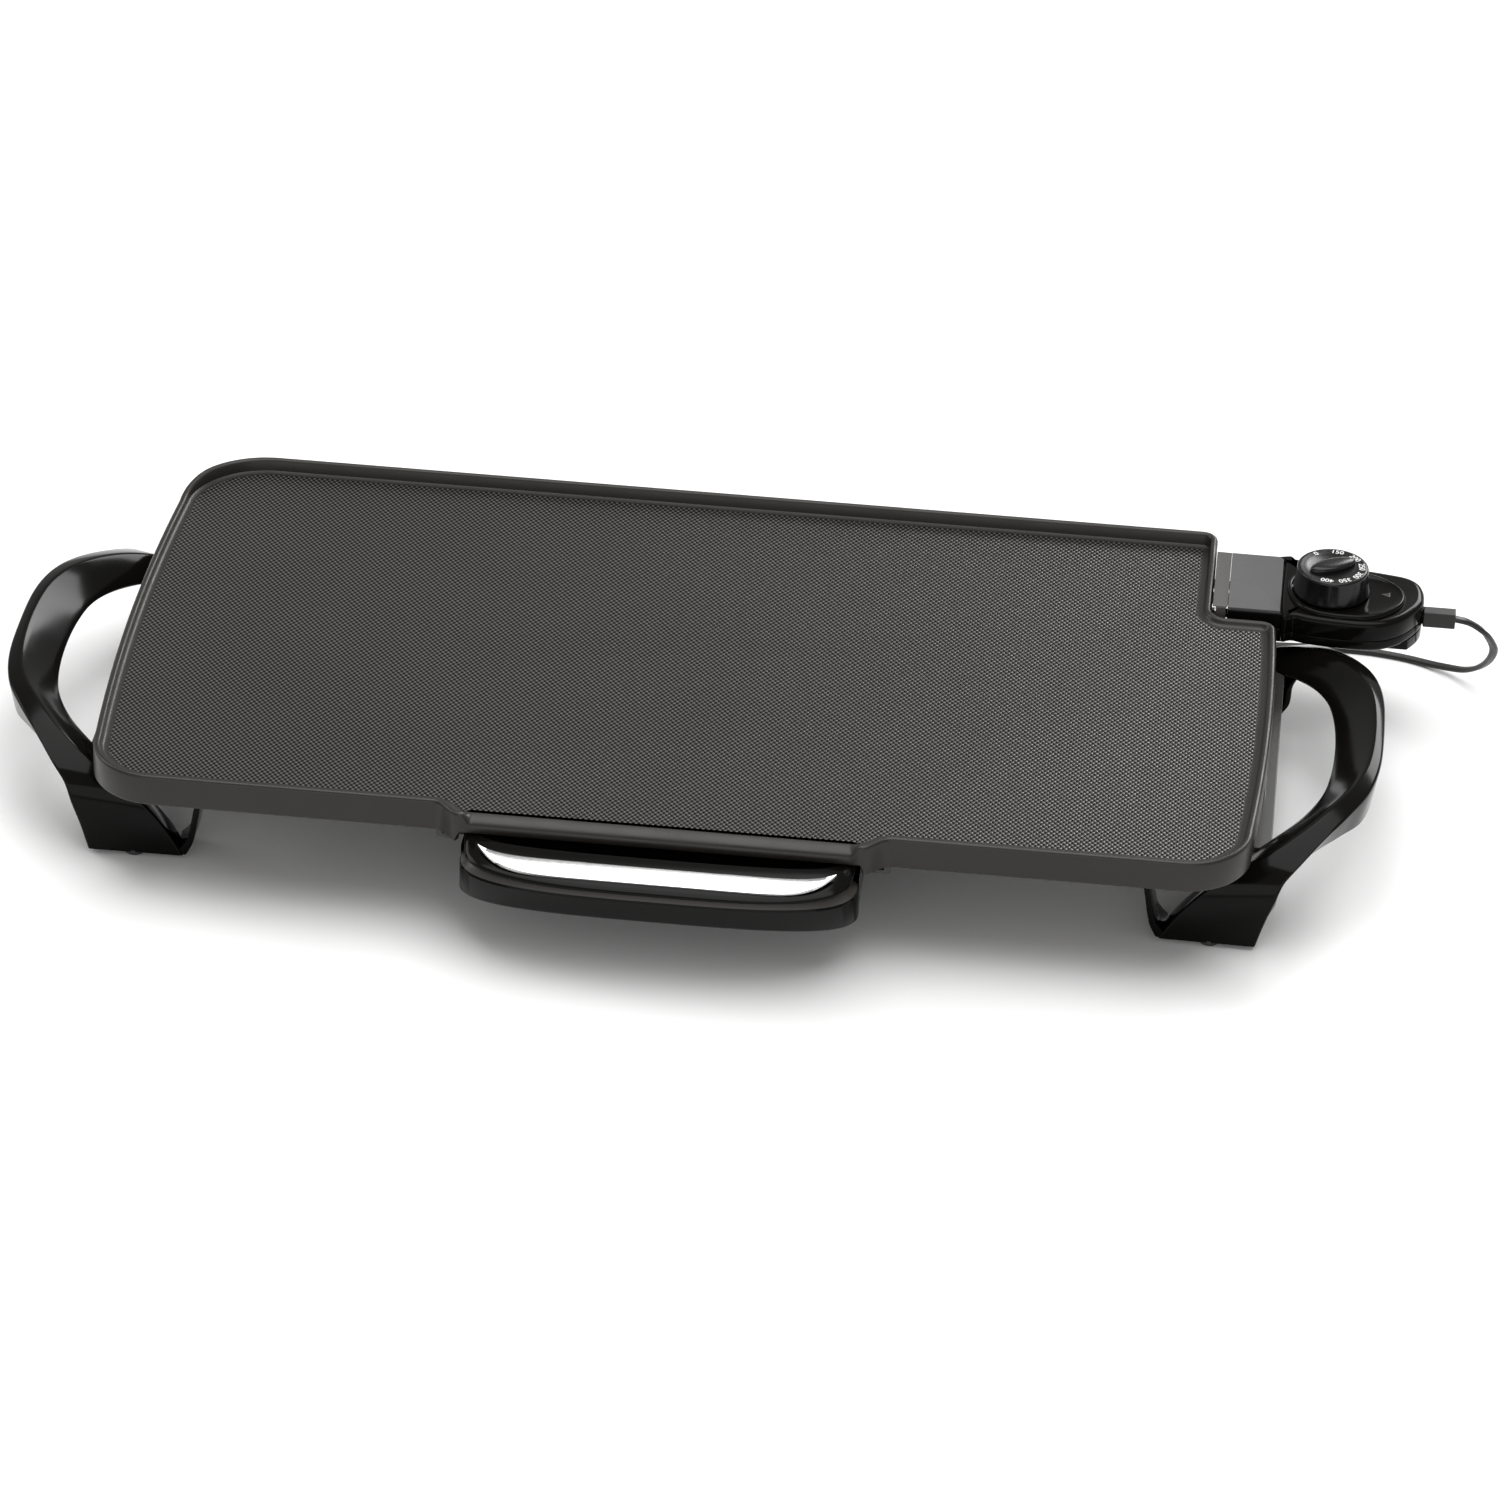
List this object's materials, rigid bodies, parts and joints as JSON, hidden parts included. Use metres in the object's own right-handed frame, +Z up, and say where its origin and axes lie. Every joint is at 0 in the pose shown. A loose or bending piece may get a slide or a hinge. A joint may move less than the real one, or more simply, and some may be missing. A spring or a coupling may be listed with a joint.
{
  "type": "electric griddle",
  "caption": "Low rectangular electric griddle with a ridged rim, front pour spout, slide-out drip tray, loop handles that are also the legs, and a plug-in dial heat control.",
  "frame": {"origin": "on the counter, at the middle of the griddle's box without its free cord", "axes": "+X along the length towards the heat control, +Y away from the drip tray, +Z up"},
  "size_m": [0.7447, 0.4153, 0.0897],
  "materials": {
    "coated_casting": "cast aluminium with a dark non-stick coating, finely textured on top",
    "element_sheath": "heat-stained steel tube",
    "ceramic": "glazed ceramic",
    "pin_steel": "nickel plated pins",
    "sheet_steel": "zinc plated sheet",
    "screw_steel": "zinc plated screws",
    "rail_black": "satin moulding",
    "gloss_black": "high gloss phenolic",
    "polished_trim": "polished",
    "bar_black": "satin moulding",
    "foot_rubber": "matt",
    "neck_grey": "satin grey plate",
    "lens_red": "translucent pointer",
    "lamp_glass": "clear bulb",
    "phenolic": "brown phenolic",
    "contact_brass": "plated",
    "probe_steel": "drawn stainless tube",
    "bimetal": "rolled strip",
    "dial_black": "gloss with pale printed numbers",
    "cord_black": "satin vinyl",
    "plug_black": "satin vinyl",
    "blade_brass": "plated"
  },
  "bodies": {
    "griddle": {"griddle_plate": "coated_casting", "heating_element": "element_sheath", "terminal_bush": "ceramic", "terminal_pins": "pin_steel", "terminal_guard": "sheet_steel", "guard_screws": "screw_steel", "left_bracket": "sheet_steel", "right_bracket": "sheet_steel", "bracket_screws": "screw_steel", "tray_rails": "rail_black", "rail_screws": "screw_steel"},
    "tray": {"drip_tray": "gloss_black", "tray_trim": "polished_trim"},
    "left_grip": {"left_handle": "gloss_black", "left_crossbar": "bar_black", "left_front_foot": "foot_rubber", "left_rear_foot": "foot_rubber"},
    "right_grip": {"right_handle": "gloss_black", "right_crossbar": "bar_black", "right_front_foot": "foot_rubber", "right_rear_foot": "foot_rubber"},
    "heat_control": {"control_upper": "gloss_black", "control_lower": "gloss_black", "neck_cover": "neck_grey", "control_bezel": "gloss_black", "pointer_lens": "lens_red", "neon_lamp": "lamp_glass", "socket_block": "phenolic", "contact_sockets": "contact_brass", "sensing_probe": "probe_steel", "probe_collar": "probe_steel", "thermostat_frame": "sheet_steel", "bimetal_strip": "bimetal", "contact_points": "pin_steel", "housing_screws": "screw_steel", "strain_relief": "cord_black", "cord_lead": "cord_black", "cord_coil": "cord_black", "cord_tail": "cord_black", "cord_tie": "cord_black", "plug": "plug_black", "plug_blades": "blade_brass"},
    "dial": {"dial_knob": "dial_black", "dial_shaft": "pin_steel"}
  },
  "joints": [
    {"name": "tray_slide", "type": "slide", "parent": "griddle", "child": "tray", "axis": [0, -1, 0], "range_m": [0, 0.11]},
    {"name": "left_handle_pull", "type": "slide", "parent": "griddle", "child": "left_grip", "axis": [-1, 0, 0], "range_m": [0, 0.035]},
    {"name": "right_handle_pull", "type": "slide", "parent": "griddle", "child": "right_grip", "axis": [1, 0, 0], "range_m": [0, 0.035]},
    {"name": "control_pull", "type": "slide", "parent": "griddle", "child": "heat_control", "axis": [1, 0, 0], "range_m": [0, 0.085]},
    {"name": "dial_turn", "type": "hinge", "parent": "heat_control", "child": "dial", "pos_m": [0.2961, 0.12675, 0.08], "axis": [0, 0, 1], "range_deg": [-128, 110]}
  ]
}
